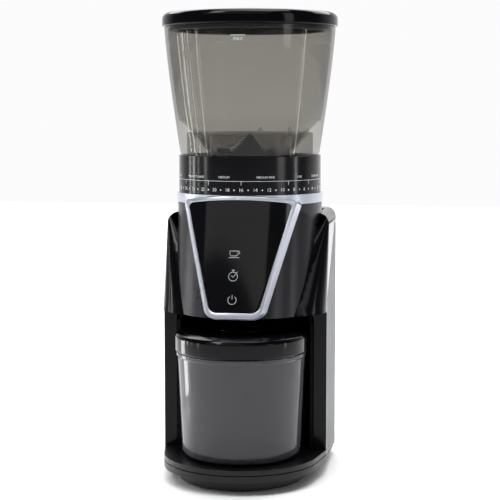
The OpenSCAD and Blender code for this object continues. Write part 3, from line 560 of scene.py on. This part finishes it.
# A stroke: its path moved half a width to each side along the normal.
def stroke(path, width):
    along = np.gradient(path, axis=0)
    along /= np.linalg.norm(along, axis=1)[:, None]
    side = np.stack([-along[:, 1], along[:, 0]], -1) * width / 2
    flat = np.stack([path + side, path - side, path - side, path + side], 1)
    height = np.broadcast_to([inkDepth, inkDepth, 0, 0], flat.shape[:2])
    points = np.concatenate([flat, height[..., None]], -1).reshape(-1, 3)
    last = 4 * (len(path) - 1)
    ends = [[3, 2, 1, 0], [last, last + 1, last + 2, last + 3]]
    return points, gridFaces(len(path), 4, False).tolist() + ends


def patch(outline):
    outline = np.asarray(outline, float)
    count = len(outline)
    points = np.concatenate([np.c_[outline, np.full(count, inkDepth)], np.c_[outline, np.zeros(count)]])
    ring = np.arange(count)
    sides = np.stack([ring, ring + count, (ring + 1) % count + count, (ring + 1) % count], -1).tolist()
    return points, [ring.tolist(), (ring + count)[::-1].tolist()] + sides


def arc(x, y, r, start, stop, count):
    turn = np.radians(np.linspace(start, stop, count))
    return np.stack([x + r * np.cos(turn), y + r * np.sin(turn)], -1)


def line(*ends, count=2):
    ends = np.asarray(ends, float)
    share = np.linspace(0, len(ends) - 1, count * (len(ends) - 1) + 1)
    index = np.arange(len(ends))
    return np.stack([np.interp(share, index, ends[:, 0]), np.interp(share, index, ends[:, 1])], -1)


def lettering(text, size, x, y):
    curve = bpy.data.curves.new("letters", "FONT")
    curve.body = text
    curve.size = size
    curve.align_x = "CENTER"
    curve.align_y = "CENTER"
    curve.extrude = inkDepth / 2
    curve.resolution_u = 3
    holder = bpy.data.objects.new("letters", curve)
    scene.collection.objects.link(holder)
    mesh = bpy.data.meshes.new_from_object(holder.evaluated_get(bpy.context.evaluated_depsgraph_get()))
    points = np.empty(len(mesh.vertices) * 3, np.float32)
    mesh.vertices.foreach_get("co", points)
    faces = [list(polygon.vertices) for polygon in mesh.polygons]
    bpy.data.objects.remove(holder)
    bpy.data.meshes.remove(mesh)
    return points.reshape(-1, 3) + [x, y, inkDepth / 2], faces


def printed(name, marks, wrap, body, finish):
    points, faces, start = [], [], 0
    for markPoints, markFaces in marks:
        points.append(markPoints)
        faces += [[start + corner for corner in markFace] for markFace in markFaces]
        start += len(markPoints)
    flat = np.concatenate(points)
    return newPiece(name, wrap(flat[:, 0], flat[:, 1], flat[:, 2]), faces, body, finish)


def onRound(radius):
    def wrap(x, y, height):
        r = radius(y) if callable(radius) else radius
        return np.stack([(r + height) * np.sin(x / r), -(r + height) * np.cos(x / r), y], -1)
    return wrap


# ---- the scale round the grind ring

scale = {"radius": 56.5, "step": 5.5, "settings": 31, "shift": 2.0, "lineZ": 233.0, "numberZ": 226.2,
         "wordZ": 235.9, "numberSize": 3.7, "wordSize": 2.4, "ticks": (1, 5, 9, 16, 21, 26, 31),
         "words": ("EXTRA FINE", "FINE", "MEDIUM FINE", "MEDIUM", "MEDIUM COARSE", "COARSE")}


def scaleX(setting):
    middle = (scale["settings"] + 1) / 2
    return scale["shift"] - (setting - middle) * math.radians(scale["step"]) * scale["radius"]


marks = [stroke(line((scaleX(31), scale["lineZ"]), (scaleX(1), scale["lineZ"]), count=90), 0.30)]
marks += [stroke(line((scaleX(t), scale["lineZ"] + 0.15), (scaleX(t), scale["lineZ"] - 3.0)), 0.36)
          for t in scale["ticks"]]
marks += [lettering(str(n), scale["numberSize"], scaleX(n), scale["numberZ"]) for n in range(2, 31, 2)]
marks += [patch(arc(scaleX(n), scale["numberZ"], 0.6, 0, 337.5, 16)) for n in range(1, 32, 2)]
marks += [lettering(word, scale["wordSize"], (scaleX(a) + scaleX(b)) / 2, scale["wordZ"])
          for word, a, b in zip(scale["words"], scale["ticks"], scale["ticks"][1:])]
printed("ringScale", marks, onRound(scale["radius"]), "grind_ring", printWhite)

# ---- marks on the panel: a cup, a stopwatch and a power sign

icons = {"x": -1.2, "cup": 50.0, "timer": 32.6, "power": 14.6, "line": 0.30}


def cupMarks(s):
    w = icons["line"]
    bowl = np.concatenate([line((-3.2, s + 2.2), (-3.2, s + 0.2)), arc(-1.4, s + 0.2, 1.8, 180, 270, 8)[1:],
                           arc(1.2, s + 0.2, 1.8, 270, 360, 8), line((3.0, s + 0.2), (3.0, s + 2.2))[1:]])
    return [stroke(bowl, w), stroke(line((-3.4, s + 2.2), (3.2, s + 2.2)), w),
            stroke(arc(3.2, s + 0.9, 1.1, -80, 80, 12), w), stroke(line((-4.0, s - 2.9), (4.0, s - 2.9)), w)]


def timerMarks(s):
    w = icons["line"]
    return [stroke(arc(0, s, 3.4, 0, 345, 36), w), stroke(arc(0, s, 3.4, 344, 361, 4), w),
            stroke(line((-1.5, s + 0.9), (-0.2, s - 0.7), (1.9, s + 1.6)), w),
            stroke(line((-1.2, s + 4.9), (1.2, s + 4.9)), w), stroke(line((0, s + 3.4), (0, s + 4.9)), w),
            stroke(line((2.6, s + 2.9), (3.4, s + 3.7)), w)]


def powerMarks(s):
    w = icons["line"]
    return [stroke(arc(0, s, 3.2, 125, 415, 32), w), stroke(line((0, s + 0.6), (0, s + 4.0)), w)]


panelMarks = cupMarks(icons["cup"]) + timerMarks(icons["timer"]) + powerMarks(icons["power"])
printed("panelIcons", [(points + [icons["x"], 0, 0], faces) for points, faces in panelMarks],
        onFace, "housing", printWhite)
printed("indexMark", [patch([(-1.2, 92.0), (1.2, 92.0), (0, 94.3)])], onBezel, "housing", printWhite)
print("stage 7: printed marks")

# ---- marks on the hopper

hopperMarks = {"fillX": 1.5, "fillZ": 343.0, "line": 0.5,
               "shutX": 17.3, "openX": 41.0, "lockZ": 271.0, "lockLine": 0.4}
fillX, fillZ = hopperMarks["fillX"], hopperMarks["fillZ"]
fill = [stroke(line((fillX - 5.5, fillZ), (fillX + 5.5, fillZ), count=8), hopperMarks["line"]),
        lettering("MAX", 3.6, fillX, fillZ - 2.8)]
printed("fillMark", fill, onRound(hopperRadius), "hopper", printWhite)


# A padlock: a box and a shackle, whose free leg stops short of the box when it is open.
def padlock(x, z, gap):
    w = hopperMarks["lockLine"]
    left, right, bottom, top = x - 1.4, x + 1.4, z - 1.1, z + 1.1
    box = line((left, bottom), (right, bottom), (right, top), (left, top), (left, bottom))
    shackle = np.concatenate([line((x - 0.9, top), (x - 0.9, z + 2.0)), arc(x, z + 2.0, 0.9, 180, 0, 12)[1:],
                              line((x + 0.9, z + 2.0), (x + 0.9, top + gap))[1:]])
    return [stroke(shackle, w), stroke(box, w)]


lockZ = hopperMarks["lockZ"]
shutX, openX = hopperMarks["shutX"], hopperMarks["openX"]
locks = padlock(shutX, lockZ, 0.0) + padlock(openX, lockZ, 0.7)
locks += [patch([(openX - 0.8, lockZ - 2.4), (openX, lockZ - 3.8), (openX + 0.8, lockZ - 2.4)])]
printed("lockMarks", locks, onRound(hopperRadius), "hopper", printDark)

# ---- floor

floor = {"half": 3.0, "z": -0.0002}
floorMesh = bpy.data.meshes.new("floor")
floorCorners = [(x * floor["half"], y * floor["half"], floor["z"])
                for x, y in ((-1, -1), (1, -1), (1, 1), (-1, 1))]
floorMesh.from_pydata(floorCorners, [], [(0, 1, 2, 3)])
floorPiece = bpy.data.objects.new("floor", floorMesh)
scene.collection.objects.link(floorPiece)
floorPaper = opaqueFinish("floorPaper", {"colour": studio["floor"], "rough": 0.85, "patchShare": 0.01})
floorMesh.materials.append(floorPaper)
print("stage 8: floor")
